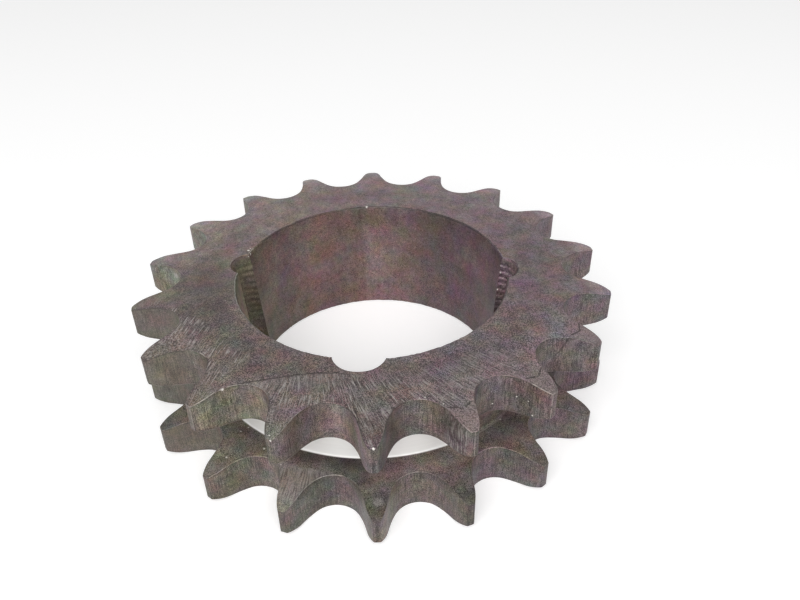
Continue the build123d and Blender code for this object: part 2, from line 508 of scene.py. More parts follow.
def edge_wear(columns):
    """How bright (up to 1) or how dark (down to -1) each edge of the teeth is, at each column."""
    angles = (columns.angles + 180) % 360 - 180
    radii = np.hypot(columns.points[:, 0], columns.points[:, 1])
    wear = []
    for edge, stretches in WORN_STRETCHES.items():
        broad = wander(columns.turns, 90, 41 + edge)
        fine = wander(columns.turns, 500, 51 + edge)
        worn = np.clip((broad * 0.6 + fine * 0.7 - 0.35) * 2.5, 0, 1) * 0.6
        for first, last, inner, outer, share in stretches:
            inside = (angles > first) & (angles < last) & (radii > inner) & (radii < outer)
            worn = np.where(inside, share * (0.8 + 0.3 * fine), worn)
        wear.append(worn)
    return wear


def rim_wear_and_glints(columns):
    """How bright or how dark the bore's upper rim is, at each column, in wear and painted glints."""
    worn = np.zeros(columns.count)
    for start, end, share in RIM_WEAR_AND_GLINTS:
        turn = (columns.even_angles - start) % 360
        worn = np.where(turn < end - start, share, worn)
    return worn


def bore_breaks(columns, holes):
    """Size of the broken edge at both ends of the bore, at each column."""
    breaks = np.full(columns.count, BORE_EDGE_BREAK)
    for hole, size in zip(holes, HOLE_EDGE_BREAKS):
        for index in hole.span:
            breaks[index % columns.count] = size
    return breaks * (1 + 0.25 * wander(columns.turns, 300, 31))


def build_rings():
    """All the rings of the sprocket, its half-holes, and the ring at which the bore's wall begins."""
    columns = Columns()
    holes = [
        HalfHole("jack", JACK_HOLE_ANGLE, JACK_HOLE_DIAMETER, columns),
        HalfHole("tapped", JACK_HOLE_ANGLE + TAPPED_HOLE_TURN, TAPPED_HOLE_DIAMETER, columns),
        HalfHole("tapped", JACK_HOLE_ANGLE - TAPPED_HOLE_TURN, TAPPED_HOLE_DIAMETER, columns),
    ]
    section = Section(columns)
    sizes = edge_sizes(columns)
    wear = edge_wear(columns)
    rim = rim_wear_and_glints(columns)
    breaks = bore_breaks(columns, holes)
    top_inner = bore_points(columns, holes, WIDTH, breaks * BROKEN[0][0])
    low_inner = bore_points(columns, holes, 0, breaks * BROKEN[0][0])
    around = direction(columns.angles)
    hub = (HUB_RADIUS + GROOVE_FILLET) * around

    section.bore_edge(holes, WIDTH, 1, breaks, rim, False)
    section.drop_last()
    section.row(WIDTH - TOOTH_WIDTH / 2, sizes[:2], wear[:2], top_inner, hub, UPPER_BANDS)
    section.fillet(ROW_SPACING, 1, True)
    for share in (0.25, 0.5, 0.75):
        height = ROW_SPACING - GROOVE_FILLET - share * (ROW_SPACING - TOOTH_WIDTH - 2 * GROOVE_FILLET)
        section.add("groove", HUB_RADIUS * around, height, FARTHEST)
    section.fillet(TOOTH_WIDTH, -1, False)
    section.row(TOOTH_WIDTH / 2, sizes[2:], wear[2:], hub, low_inner, LOWER_BANDS)
    section.drop_last()
    section.bore_edge(holes, 0, -1, breaks, 0, True)

    wall_start = len(section.rings) - 1
    low, high = section.rings[-1][:, 2], section.rings[0][:, 2]
    for share in np.arange(1, BORE_STEPS) / BORE_STEPS:
        heights = low * (1 - share) + high * share
        points = bore_points(columns, holes, np.mean(heights), np.zeros(columns.count))
        near = np.minimum(np.minimum(heights, WIDTH - heights), FARTHEST)
        section.add("bore", points, heights, near, rim)
    return section, holes, wall_start


# ---- the threads

def thread_radius(turns, heights, phase, depth):
    """Radius of the tapped wall at some turns and heights, cut by a right-hand thread."""
    place = (heights / THREAD_PITCH - turns / 360 + phase) % 1
    rise = np.clip(np.minimum(place - THREAD_CREST, 1 - place) / THREAD_FLANK, 0, 1)
    ends = np.clip(np.minimum(heights, WIDTH - heights) / 0.5, 0, 1)
    return TAPPED_HOLE_DIAMETER / 2 + depth * rise * ends


def thread_rows(low, high):
    """Heights of the rows of a thread patch, which fall on the corners of the thread's form."""
    turns = range(int(low / THREAD_PITCH), math.ceil(high / THREAD_PITCH))
    heights = [(turn + corner) * THREAD_PITCH for turn in turns for corner in THREAD_CORNERS]
    return [height for height in heights if low + THREAD_MARGIN < height <= high - THREAD_MARGIN]


def thread_points(hole, low, high, phase, depth):
    """Rows of points on a tapped half-hole between its two end rings, and their heights."""
    share = np.linspace(-1, 1, len(hole.span))
    grid = []
    for height in thread_rows(low, high):
        fade = min(1, (height - low) / THREAD_PITCH, (high - height) / THREAD_PITCH)
        heights = height + (share * THREAD_HALF_TURN / 360 - phase) * THREAD_PITCH * fade * 0.98
        heights = np.clip(heights, low + 0.05, high - 0.05)
        bores = bore_radius(heights)
        ends = hole.end_turn(bores, hole.radius)
        for _ in range(6):
            edge_radius = thread_radius(ends * np.sign(share), heights, phase, depth)
            ends = hole.end_turn(bores, edge_radius)
        turns = ends * share
        grid.append((hole.wall(turns, thread_radius(turns, heights, phase, depth)), heights))
    return grid


def zipper(left, right, heights):
    """Triangles between two upright lines of points, whose indices run upwards."""
    faces = []
    i = 0
    j = 0
    while i + j < len(left) + len(right) - 2:
        right_done = j == len(right) - 1
        left_done = i == len(left) - 1
        if right_done or (not left_done and heights[left[i + 1]] <= heights[right[j + 1]]):
            faces.append((left[i + 1], right[j], left[i]))
            i += 1
        else:
            faces.append((right[j + 1], right[j], left[i]))
            j += 1
    return faces


def band_faces(section, skipped, wall_start):
    """The faces between each ring and the next, and their bands, but for the skipped bore columns."""
    count = section.columns.count
    total = len(section.rings)
    faces = []
    bands = []
    for number, band in enumerate(section.bands):
        here = number * count
        after = (number + 1) % total * count
        for column in range(count):
            if number < wall_start or column not in skipped:
                beside = (column + 1) % count
                faces.append((here + column, after + column, after + beside, here + beside))
                bands.append(band)
    return faces, bands


def assemble(section, holes, wall_start):
    """Vertices, faces and the band name of each face, with the thread patches sewn in."""
    count = section.columns.count
    vertices = np.vstack(section.rings)
    tapped = [hole for hole in holes if hole.kind == "tapped"]
    skipped = {index % count for hole in tapped for index in (hole.span[0] - 1, *hole.span)}
    faces, bands = band_faces(section, skipped, wall_start)
    wall_rings = [number * count for number in (*range(wall_start, len(section.rings)), 0)]
    for number, hole in enumerate(tapped):
        columns = [index % count for index in hole.span]
        grid = [[wall_rings[0] + column for column in columns]]
        low = vertices[grid[0], 2].max()
        high = vertices[columns, 2].min()
        for points, heights in thread_points(hole, low, high, 0.3 + 0.37 * number, THREAD_DEPTHS[number]):
            grid.append(range(len(vertices), len(vertices) + len(columns)))
            vertices = np.vstack([vertices, ring(points, heights, FARTHEST)])
        grid.append(columns)
        for lower, upper in zip(grid[:-1], grid[1:]):
            for place in range(len(columns) - 1):
                faces.append((lower[place], upper[place], upper[place + 1], lower[place + 1]))
                bands.append("thread")
        before = [first + (hole.span[0] - 1) % count for first in wall_rings]
        after = [first + (hole.span[-1] + 1) % count for first in wall_rings]
        seams = zipper(before, [line[0] for line in grid], vertices[:, 2])
        seams += zipper([line[-1] for line in grid], after, vertices[:, 2])
        faces += seams
        bands += ["bore"] * len(seams)
    return vertices, faces, bands


def used_only(vertices, faces):
    """Leaves out the vertices that no face uses."""
    used = sorted({corner for face in faces for corner in face})
    new_index = {old: new for new, old in enumerate(used)}
    return vertices[used], [[new_index[corner] for corner in face] for face in faces]


# ---- nodes

class Field:
    """A value, place or colour that changes over a surface: one output of a node, with arithmetic."""

    def __init__(self, graph, socket):
        self.graph = graph
        self.socket = socket

    def __add__(self, other):
        return self.graph.math("ADD", self, other)

    def __sub__(self, other):
        return self.graph.math("SUBTRACT", self, other)

    def __rsub__(self, other):
        return self.graph.math("SUBTRACT", other, self)

    def __mul__(self, other):
        return self.graph.math("MULTIPLY", self, other)

    def __truediv__(self, other):
        return self.graph.math("DIVIDE", self, other)

    __radd__ = __add__

    def unsigned(self):
        """The value without its sign."""
        return self.graph.math("ABSOLUTE", self)

    def at_least(self, other):
        return self.graph.math("MAXIMUM", self, other)

    def ramp(self, low, high):
        """0 where the value is at low or beyond it, 1 at high or beyond it."""
        limits = {"Value": self, "From Min": low, "From Max": high}
        return self.graph.make("MapRange", "Result", limits, interpolation_type="SMOOTHSTEP")

    def between(self, low, high, soft):
        """1 where the value is between two limits, with soft ends."""
        return self.ramp(low - soft, low + soft) * self.ramp(high + soft, high - soft)

    def times(self, amount):
        """The place or colour times a number."""
        parts = {"Vector": self, "Scale": amount}
        return self.graph.make("VectorMath", "Vector", parts, operation="SCALE")

    def under(self, paint, share, mode="MIX"):
        """The colour with another laid over a share of it."""
        return self.graph.blend(share, self, paint, mode)

    def tinted(self, scale, amount, seed):
        """The colour with its red, green and blue each shifted a little by noise of their own."""
        shift = self.graph.noise(scale, 1, 0.5, seed, output="Color")
        factors = {0: shift, 1: (amount,) * 3, 2: (1 - amount / 2,) * 3}
        factor = self.graph.make("VectorMath", 0, factors, operation="MULTIPLY_ADD")
        return self.graph.make("VectorMath", 0, {0: self, 1: factor}, operation="MULTIPLY")


class Graph:
    """The nodes of a material or of the world, made by short calls. Places are in millimetres."""

    def __init__(self, owner):
        owner.use_nodes = True
        self.owner = owner
        self.tree = owner.node_tree
        self.place = self.make("TexCoord", "Object", {}).times(1 / METRE)
        split = self.make("SeparateXYZ", "X", {0: self.place}).socket.node
        self.x, self.y, self.z = [Field(self, split.outputs[axis]) for axis in "XYZ"]
        self.radius = self.math("SQRT", self.x * self.x + self.y * self.y)
        self.angle = self.math("DEGREES", self.math("ARCTAN2", self.y, self.x))

    def make(self, kind, output, inputs, **settings):
        """A new node with its settings and inputs, as the field of one of its outputs."""
        new = self.tree.nodes.new("ShaderNode" + kind)
        for name, value in settings.items():
            setattr(new, name, value)
        for name, value in inputs.items():
            self.link(value, new.inputs[name])
        return Field(self, new.outputs[output])

    def link(self, value, socket):
        """Sets an input to a number, a place or a colour, or joins it to a field."""
        if isinstance(value, Field):
            self.tree.links.new(value.socket, socket)
        elif isinstance(value, tuple):
            socket.default_value = (*value, 1)[:len(socket.default_value)]
        else:
            socket.default_value = value

    def math(self, operation, *values):
        return self.make("Math", 0, dict(enumerate(values)), operation=operation)

    def vector(self, x, y, z):
        return self.make("CombineXYZ", 0, {0: x, 1: y, 2: z})

    def noise(self, scale, detail, roughness, seed, place=None, output="Fac"):
        """Noise about 0.5 whose features are 1 / scale millimetres across."""
        look = {"W": seed, "Scale": scale, "Detail": detail, "Roughness": roughness}
        look["Vector"] = self.place if place is None else place
        return self.make("TexNoise", output, look, noise_dimensions="4D")

    def specks(self, scale, size, share, seed):
        """Small round spots: 1 in the middle of a share of the cells of a pattern."""
        look = {"Vector": self.place, "W": seed, "Scale": scale}
        cells = self.make("TexVoronoi", "Color", look, voronoi_dimensions="4D")
        red = self.make("SeparateColor", "Red", {"Color": cells})
        from_middle = Field(self, cells.socket.node.outputs["Distance"])
        return self.math("LESS_THAN", red, share) * from_middle.ramp(size, size * 0.3)

    def blend(self, share, first, second, mode="MIX"):
        parts = {0: share, 6: first, 7: second}
        return self.make("Mix", 2, parts, data_type="RGBA", blend_type=mode)

    def attribute(self, name):
        return self.make("Attribute", "Fac", {}, attribute_name=name)

    def distance(self, point):
        """Distance in millimetres from a point."""
        ends = {0: self.place, 1: tuple(point)}
        return self.make("VectorMath", "Value", ends, operation="DISTANCE")

    def strongest(self, fields):
        """The largest of some fields at each place."""
        top = fields[0]
        for field in fields[1:]:
            top = top.at_least(field)
        return top

    def seen(self):
        """1 for the rays of the camera, of reflections and of glass, 0 for those that light the part."""
        rays = self.make("LightPath", 0, {}).socket.node
        kinds = ["Is Camera Ray", "Is Glossy Ray", "Is Transmission Ray"]
        return self.strongest([Field(self, rays.outputs[kind]) for kind in kinds])

    def finish(self, colour, roughness, height, bump, metallic=METALLIC):
        """Joins the colour, the roughness and the relief to the shader."""
        parts = {"Strength": 1.0, "Distance": bump * METRE, "Height": height}
        normal = self.make("Bump", "Normal", parts)
        looks = {"Base Color": colour, "Roughness": roughness, "Metallic": metallic, "Normal": normal}
        for name, value in looks.items():
            self.link(value, self.tree.nodes["Principled BSDF"].inputs[name])
        return self.owner


# ---- materials

# The last factor of each colour makes up for the white room, which shines on the open sides.

def steel_colour(graph, colours, seed, grain, patches):
    """Aged steel: yellower on the left and purpler on the right, with soft patches and a fine grain."""
    shift = (graph.noise(0.07, 2, 0.5, seed) - 0.5) * 0.9
    colour = graph.blend((graph.x / 80 + shift).ramp(-0.5, 0.6), *colours)
    colour = colour.tinted(0.8, TINTS * 0.6, seed + 1).tinted(0.25, TINTS * 1.5, seed + 2)
    fine = graph.noise(GRAIN_SCALE, 1, 0.6, seed + 3)
    middle = graph.noise(1.7, 1, 0.5, seed + 4)
    broad = graph.noise(0.4, 2, 0.5, seed + 5)
    value = 1.0 + (fine - 0.5) * (grain * 5.0) + (middle - 0.5) * 0.85 + (broad - 0.5) * patches
    return colour.times(value.at_least(0.25)), fine


def toned(colour, angle, place, tones):
    """The colour made lighter or darker where the angle and another place are within some limits."""
    value = 1.0
    for start, end, low, high, amount in tones:
        value = angle.between(start, end, 2.5) * place.between(low, high, 0.8) * amount + value
    return colour.times(value)


def two_tone(colour, noise, where, pale, dark):
    """Scored pale where a noise is high and dirty where it is low: from, to, how much, for each."""
    colour = colour.under(SCORED, noise.ramp(*pale[:2]) * where * pale[2])
    return colour.under(DIRT_AND_SHADE, noise.ramp(*dark[:2]) * where * dark[2])


def worn_edges(graph, colour):
    """Bright or dirty where an edge is marked as worn, and darker in places just beside any edge."""
    width = EDGE_ROUNDING
    near = graph.attribute("near")
    worn = graph.attribute("worn")
    in_places = graph.noise(0.5, 2, 0.5, 71).ramp(0.42, 0.6)
    beside = near.ramp(width * 5, width * 2) * near.ramp(0.02, width) * in_places
    colour = colour.under(DIRT_AND_SHADE, beside * 0.45)
    uneven = graph.noise(1.5, 3, 0.7, 72)
    reach = (uneven * 2.4 - 0.5) * width
    share = (near / reach.at_least(0.01)).ramp(1.0, 0.3)
    broken = uneven.ramp(0.36, 0.56)
    dark = near.ramp(width * 3, width) * (worn * -1).at_least(0)
    colour = colour.under(DIRT_AND_SHADE, dark * (broken * 0.5 + 0.5))
    return colour.under(RUBBED, share * broken * 0.8 * worn.at_least(0))


def nicked_and_glinting(graph, colour):
    """Adds the bright nicks and painted glints of the list above, and chance specks of painted sparkle."""
    ragged = (graph.noise(3.0, 2, 0.6, 74) - 0.5) * 0.4
    spots = []
    for angle, radius, height, size in NICKS_AND_GLINTS:
        place = np.append(radius * direction(angle), height)
        spots.append((graph.distance(place) + ragged).ramp(size, size * 0.4))
    colour = colour.under(NICK_AND_GLINT, graph.strongest(spots) * 0.85)
    # Chance specks of painted sparkle.
    return colour.under(NICK_AND_GLINT, graph.specks(0.6, 0.09, 0.16, 73) * 0.5)


def stroke_pattern(graph, seed, straight=False):
    """Noises stretched along strokes that lean more and more to the right, or all the same way."""
    wobble = (graph.noise(0.3, 1, 0.5, seed + 5) - 0.5) * 0.5
    if straight:
        across = graph.x - graph.y * STROKE_LEAN + wobble
    else:
        middle_x, middle_y, reach = STROKE_FAN
        spread = graph.math("EXPONENT", (graph.y - middle_y) / reach)
        across = (graph.x - middle_x + wobble) * spread
    fine = graph.vector(across * STROKES, graph.y / STROKE_LENGTH, 0.0)
    broad = graph.vector(across * (STROKES * 0.28), graph.y / (STROKE_LENGTH * 2), 0.0)
    return graph.noise(1.0, 1, 0.6, seed, fine), graph.noise(1.0, 2, 0.6, seed + 1, broad)


def scored_front(graph, colour):
    """The front of the upper face: a grinder's slanting strokes, the dark line, a painted shadow of a small
    step, and rough flecks.
    """
    angle, radius = graph.angle, graph.radius
    upper = graph.z.ramp(22, 23)
    past_line = graph.math("MINIMUM", angle + 100, 0)
    beyond = radius - (past_line * past_line * 0.0145 + 32.9)

    strokes, broad = stroke_pattern(graph, 81)
    leaning = stroke_pattern(graph, 87, True)[0]
    on_left = angle.ramp(-127, -131)
    strokes = strokes + (leaning - strokes) * on_left
    marked = beyond.ramp(-0.6, 1.2) * (1 - on_left) + radius.ramp(33.5, 37) * on_left
    marked = marked * upper * angle.ramp(-174, -158) * angle.ramp(-40, -56)
    marked = marked * (graph.noise(0.22, 2, 0.5, 83).ramp(0.36, 0.52) * 0.6 + 0.4)
    marked = marked * (graph.noise(0.75, 2, 0.5, 89).ramp(0.36, 0.60) * 0.65 + 0.45)
    marked = marked * (1 - radius.ramp(43.5, 46) * 0.4) * (1 - on_left * 0.15)
    light = strokes.ramp(0.53, 0.64) * marked
    dark = strokes.ramp(0.47, 0.36) * marked
    wash = broad.ramp(0.46, 0.62) * marked
    colour = colour.under(SCORED, light * 0.95).under(DIRT_AND_SHADE, dark * 0.85).under(SCORED, wash * 0.12)
    band = angle.between(-127, -99, 3) * beyond.between(0.3, 4.5, 1.0) * upper
    colour = colour.under(SCORED, band * wash * 0.35 + band * 0.08)

    ragged = graph.noise(1.1, 3, 0.7, 84)
    # The dark line: a painted shadow along a small step where the ground area ends.
    line = (beyond + (ragged - 0.5) * 1.1).unsigned().ramp(0.34, 0.06)
    line = line * angle.between(-125, -98, 2.5) * upper * ragged.ramp(0.34, 0.48)
    colour = colour.under(DIRT_AND_SHADE, line * 0.9)

    flecks = graph.noise(4.2, 1, 0.6, 86)
    rough = radius.ramp(43.0, 44.6) * upper * angle.ramp(-178, -165) * angle.ramp(-20, -35)
    rough = rough * (angle.ramp(-100, -60) * 0.15 + 0.40)
    colour = two_tone(colour, flecks, rough, (0.52, 0.68, 1), (0.48, 0.34, 1))

    clumps = graph.noise(2.6, 3, 0.75, 88)
    outer = angle.between(-156, -141, 3) * radius.ramp(40.6, 42.4)
    inner = angle.between(-139, -134.5, 1) * radius.ramp(42, 43.5)
    scuffed = outer.at_least(inner) * upper
    colour = two_tone(colour, clumps, scuffed, (0.53, 0.62, 0.75), (0.47, 0.38, 0.8))
    return scuffed_tips(graph, colour, upper, ragged, flecks), light - dark


def scuffed_tips(graph, colour, upper, ragged, flecks):
    """Three tips of the upper face, rubbed pale beyond a dark crease, and a spot of rust."""
    for middle, start, half in SCUFFED_TIPS:
        side = (graph.angle - middle).unsigned()
        on_tip = side.ramp(half + 0.4, half) * upper
        edge = graph.radius - start + side * 0.35 + (ragged - 0.5)
        facet = edge.ramp(0.0, 0.5) * on_tip
        colour = colour.under(SCUFF, facet * (flecks.ramp(0.46, 0.62) * 0.4 + 0.2))
        colour = colour.under(DIRT_AND_SHADE, facet * flecks.ramp(0.44, 0.34) * 0.3)
        crease = edge.unsigned().ramp(0.26, 0.06) * on_tip * ragged.ramp(0.36, 0.5)
        colour = colour.under(DIRT_AND_SHADE, crease * 0.85)
    rust = graph.distance(RUST_SPOT).ramp(1.3, 0.3) * flecks.ramp(0.4, 0.55)
    return colour.under(RUST, rust * 0.4)


def face_tone(graph, colour):
    """The flat sides made darker on the left and, on some tips, paler or greyer; the pale grey of the tips
    at the back is a painted sheen of light from behind.
    """
    angle, radius = graph.angle, graph.radius
    tips = radius.ramp(44, 46.5)
    sheen_right_back = angle.between(-22, 30, 6)
    sheen_left_back = angle.ramp(95, 125)
    from_left = graph.math("DEGREES", graph.math("ARCTAN2", graph.y, graph.x * -1)) * -1
    left = from_left.ramp(105, 45) * 0.12 + from_left.ramp(30, 6) * 0.16
    left = left * from_left.ramp(-20, 0)
    front = angle.between(-58, -25, 4) * 0.24 - angle.between(-108, -84, 4) * 0.10
    # Tips at the back are painted paler and greyer: a painted sheen of light from behind.
    paler = tips * (sheen_right_back * 0.66 + sheen_left_back * 0.28 + front)
    tints = [
        (COOL_TINT, tips * (sheen_right_back + sheen_left_back)),
        (MOSS_TINT, tips * angle.ramp(-90, -110) * 0.35),
        (COOL_TINT, angle.ramp(60, 80) * radius.ramp(38, 40.5) * 0.6),
        (PLUM_TINT, angle.between(-140, -40, 6) * radius.ramp(38, 35) * 0.6),
    ]
    for tint, share in tints:
        colour = colour.under(tint, share, "MULTIPLY")
    return toned(colour.times(1 - left + paler), angle, radius, FACE_TONES)


def face_steel():
    """The flat sides of the rows, rougher in front, and darker where the white room shines on them."""
    graph = Graph(bpy.data.materials.new("steel_face"))
    front = graph.angle.ramp(-178, -150) * graph.angle.ramp(-8, -50)
    colour, grain = steel_colour(graph, FACE_COLOURS, 1, front * 0.75 + 0.72, 1.12)
    colour, strokes = scored_front(graph, face_tone(graph, colour))
    colour = nicked_and_glinting(graph, worn_edges(graph, colour))
    shine = (graph.x * 0.5 - graph.y * 0.87).ramp(-30, 30)
    colour = colour.times(0.945 - shine * 0.19)
    return graph.finish(colour, 0.60 - grain * 0.2, grain + strokes * 1.5, 0.02)


def marked_wall(graph, colour):
    """The larger marks on the walls: torn steel, a crack, a pale bruise and pale corners."""
    angle, radius, z = graph.angle, graph.radius, graph.z
    crack = angle + 34.6 - (z - 21.8) * 0.262
    on_crack = z.ramp(22.4, 23.2) * radius.ramp(42.0, 42.6)
    colour = colour.under(DIRT_AND_SHADE, crack.unsigned().ramp(0.20, 0.05) * on_crack * 0.6)
    colour = colour.under(SCUFF, (crack - 0.65).unsigned().ramp(0.45, 0.15) * on_crack * 0.20)
    colour = colour.under(SCORED, graph.distance(PALE_BRUISE).ramp(0.95, 0.3) * 0.6)
    lines = [(angle - place).unsigned().ramp(0.13, 0.04) for place in PALE_ARRISES]
    broken = graph.noise(1.2, 2, 0.6, 15).ramp(0.34, 0.5)
    pale = graph.strongest(lines) * radius.ramp(49.3, 49.6) * z.ramp(17, 18) * broken
    return colour.under(RUBBED, pale * 0.5)


def wall_steel():
    """The walls of the teeth, finely grained, with the cutter's faint streaks up and down."""
    graph = Graph(bpy.data.materials.new("steel_wall"))
    angle, radius, z = graph.angle, graph.radius, graph.z
    colour, grain = steel_colour(graph, WALL_COLOURS, 11, 0.92, 1.04)
    streaks = graph.noise(4.5, 2, 0.6, 12, graph.vector(graph.x, graph.y, z * 0.07))
    colour = colour.times(1.0 + (streaks - 0.5) * (graph.noise(0.12, 1, 0.5, 13) * 4.4))
    upper = z.ramp(17, 18)
    torn = angle.between(-74.4, -71.2, 0.4) * radius.ramp(43.8, 45.2) * upper
    tears = graph.noise(4.2, 2, 0.6, 14, graph.vector(graph.x, graph.y, z * 0.16))
    colour = two_tone(colour, tears, torn, (0.50, 0.64, 0.7), (0.50, 0.38, 0.5))
    even = graph.vector(*EVEN_WALL).times(streaks * 0.5 + 0.75)
    colour = colour.under(even, angle.between(-172, -143, 4) * 0.45)
    colour = colour.under(COOL_TINT, angle.ramp(128, 140) + angle.ramp(-165, -176), "MULTIPLY")
    flank = angle.between(-94.5, -91.2, 0.4) * radius.ramp(42.5, 44.5) * 0.45
    paler = angle.between(-130, -112, 2) * 0.25 + angle.between(-114, -94, 2) * 0.22
    paler = paler + angle.ramp(130, 145) * 0.25 + angle.ramp(-168, -178) * 0.25
    land = radius.ramp(49.6, 49.75) * (angle.between(-90.3, -89.6, 0.15) * 0.25 + 0.15)
    colour = colour.times((flank + paler) * upper - land + 1.0)
    colour = marked_wall(graph, toned(colour, angle, z, WALL_TONES))
    colour = nicked_and_glinting(graph, worn_edges(graph, colour)).times(0.965)
    return graph.finish(colour, 0.60 - grain * 0.2, grain * 0.7 + streaks, 0.02)


def groove_steel():
    """The groove between the rows: dark sides with painted shade near the hub, a ground patch on one tooth,
    and a turned floor painted near-white in front as a glare.
    """
    graph = Graph(bpy.data.materials.new("steel_groove"))
    angle, radius, z = graph.angle, graph.radius, graph.z
    colour, grain = steel_colour(graph, SHADE_LIFTED_GROOVE_COLOURS, 21, 1.15, 1.12)
    flat = z.ramp(9, 8.6)
    tip = angle.between(-93, -87, 0.6) * radius.ramp(43.5, 45) * 0.25
    tips = radius.ramp(43.5, 45) * angle.ramp(-93, -84) * 0.14
    # Painted shade on the lower row's upper side near the hub, where the upper row shades it.
    foot_shade = angle.between(-125, -95, 4) * radius.ramp(41.0, 37.0) * 0.68
    foot_shade = foot_shade + angle.between(-95, -68, 4) * radius.ramp(40.5, 37.0) * 0.42
    right_end = angle.ramp(-66, -56) * 0.10
    # Painted shade on the hub wall on the right, under the upper row.
    hub = angle.ramp(-67, -60) * radius.ramp(36.9, 36.4) * 0.22
    colour = colour.times(1.0 + (right_end - tip - tips - foot_shade) * flat - hub)
    colour = toned(colour, angle, radius, GROOVE_TONES)

    wavy = (graph.noise(0.8, 3, 0.6, 24) - 0.5) * 1.6
    ground = angle.between(-117.5, -100.5, 0.8) * (radius + wavy).ramp(40.0, 40.5) * flat
    ground = ground * (1 - radius.ramp(46.5, 49) * 0.7)
    colour = colour.under(SCORED, ground * 0.29)
    strokes = stroke_pattern(graph, 22)[0]
    colour = two_tone(colour, strokes, ground, (0.48, 0.66, 0.6), (0.48, 0.34, 0.6))
    foot = radius.between(36.35, 36.55, 0.12) * angle.between(-57, -47, 1) * flat
    colour = colour.under(RUBBED, foot * 0.7)
    pale = graph.distance(PALE_SPOT).ramp(1.2, 0.5) * grain.ramp(0.35, 0.5)
    colour = nicked_and_glinting(graph, worn_edges(graph, colour.under(SCORED, pale * 0.6)))
    shine = graph.y.ramp(-44, -4) * 0.24 + graph.x * 0.0008 + 0.115
    colour = colour.times(1 - shine * flat)

    # The turned hub wall in front is painted near-white and not metallic: a painted glare that stands for
    # the light it throws back.
    shifted = angle + (graph.noise(0.9, 3, 0.7, 26) - 0.5) * 9
    turned = shifted.between(-141.5, -63.5, 0.8) * radius.ramp(36.35, 36.1)
    lines = graph.noise(5.0, 2, 0.6, 25, graph.vector(radius, angle * 0.01, z))
    colour = colour.under(graph.vector(*GLARE_WHITE).times(0.94 + lines * 0.12), turned)
    return graph.finish(colour, 0.54 - turned * 0.12, grain, 0.02, (turned * -1 + 1) * METALLIC)


def bore_tone(graph):
    """How light the bore's wall is round its turn: a pale band behind, partly a painted highlight, with one
    sharp side, and painted shade over the rim's chamfer.
    """
    angle, z = graph.angle, graph.z
    left = angle.ramp(94.2, 95.8)
    right_end = angle.between(-5, 28, 6) * z.ramp(13, 20) * 0.24
    # The pale band behind, from 58 degrees up to its sharp side near 95, is partly a painted highlight.
    right_part = angle.ramp(58, 88) * 0.52 + 0.80 + right_end
    left_part = angle.between(118, 130, 7) * 0.22 - angle.ramp(136, 158) * 0.12 + 0.99
    rim = z.ramp(WIDTH - 0.42, WIDTH - 0.32)
    shadow = rim * (angle.between(20, 150, 10) * 0.22 + 0.40)
    front = angle.ramp(-120, -150) * 0.7 + angle.ramp(175.5, 177.5) * 0.63
    front = front * (1 - rim) * z.ramp(8, 15)
    left_end = angle.between(142, 172, 6) * z.ramp(14, 20) * 0.07
    low_ends = (angle.between(-35, 8, 8) + angle.between(148, 175, 8)) * z.ramp(9, 3)
    tone = right_part * (1 - left) + left_part * left + front + left_end
    return tone * (1 - shadow) * (1 - low_ends * 0.11)


def bore_steel(graph, seed):
    """The colour of the bore's wall, smoother and redder, with soft patches and hardly any streaks."""
    colour, grain = steel_colour(graph, SHADE_LIFTED_BORE_COLOURS, seed, 0.75, 0.4)
    streaks = graph.noise(1.1, 3, 0.6, seed + 8, graph.vector(graph.x, graph.y, graph.z * 0.12))
    blotches = graph.noise(0.18, 3, 0.55, seed + 9)
    value = graph.z.ramp(0, 24) * 0.30 + 0.78 + (streaks - 0.5) * 0.45 + (blotches - 0.5) * 0.5
    colour = colour.under(ROSE_TINT, graph.angle.between(66, 128, 12), "MULTIPLY")
    colour = colour.times(value * bore_tone(graph))
    return toned(colour, graph.angle, graph.z, BORE_TONES), grain, streaks


def bare_bore():
    """The taper of the bore, with its rim rubbed bright and painted with glints in places."""
    graph = Graph(bpy.data.materials.new("steel_bore"))
    angle, z = graph.angle, graph.z
    colour, grain, streaks = bore_steel(graph, 31)
    colour = colour.under(PLUM_TINT, angle.between(-35, 45, 12), "MULTIPLY")
    mossy = angle.ramp(-138, -144) + angle.ramp(175.5, 177.5) + angle.between(148, 162, 4) * 0.4
    colour = colour.under(MOSS_TINT, mossy, "MULTIPLY")
    streak = graph.distance(PALE_STREAK).ramp(1.0, 0.3) * grain.ramp(0.4, 0.5)
    colour = colour.under(SCUFF, streak * 0.4)
    worn = graph.attribute("worn")
    colour = colour.under(DIRT_AND_SHADE, (worn * -1).at_least(0) * z.ramp(WIDTH - 0.6, WIDTH - 0.5))
    broken = graph.noise(1.5, 3, 0.7, 72).ramp(0.36, 0.52) * 0.6 + 0.4
    # A thin pale line on the rim where it is marked bright: partly wear, partly painted glints.
    line = worn.at_least(0) * z.ramp(WIDTH - 0.10, WIDTH - 0.03) * broken
    colour = nicked_and_glinting(graph, colour.under(NICK_AND_GLINT, line * 0.55))
    shine = z.ramp(8, 24) * 0.06 + z.ramp(24.5, 26) * 0.12 + 0.035
    colour = colour.times(1 - shine)
    return graph.finish(colour, 0.50 - streaks * 0.12, grain * 0.4 + streaks * 0.4, 0.015)


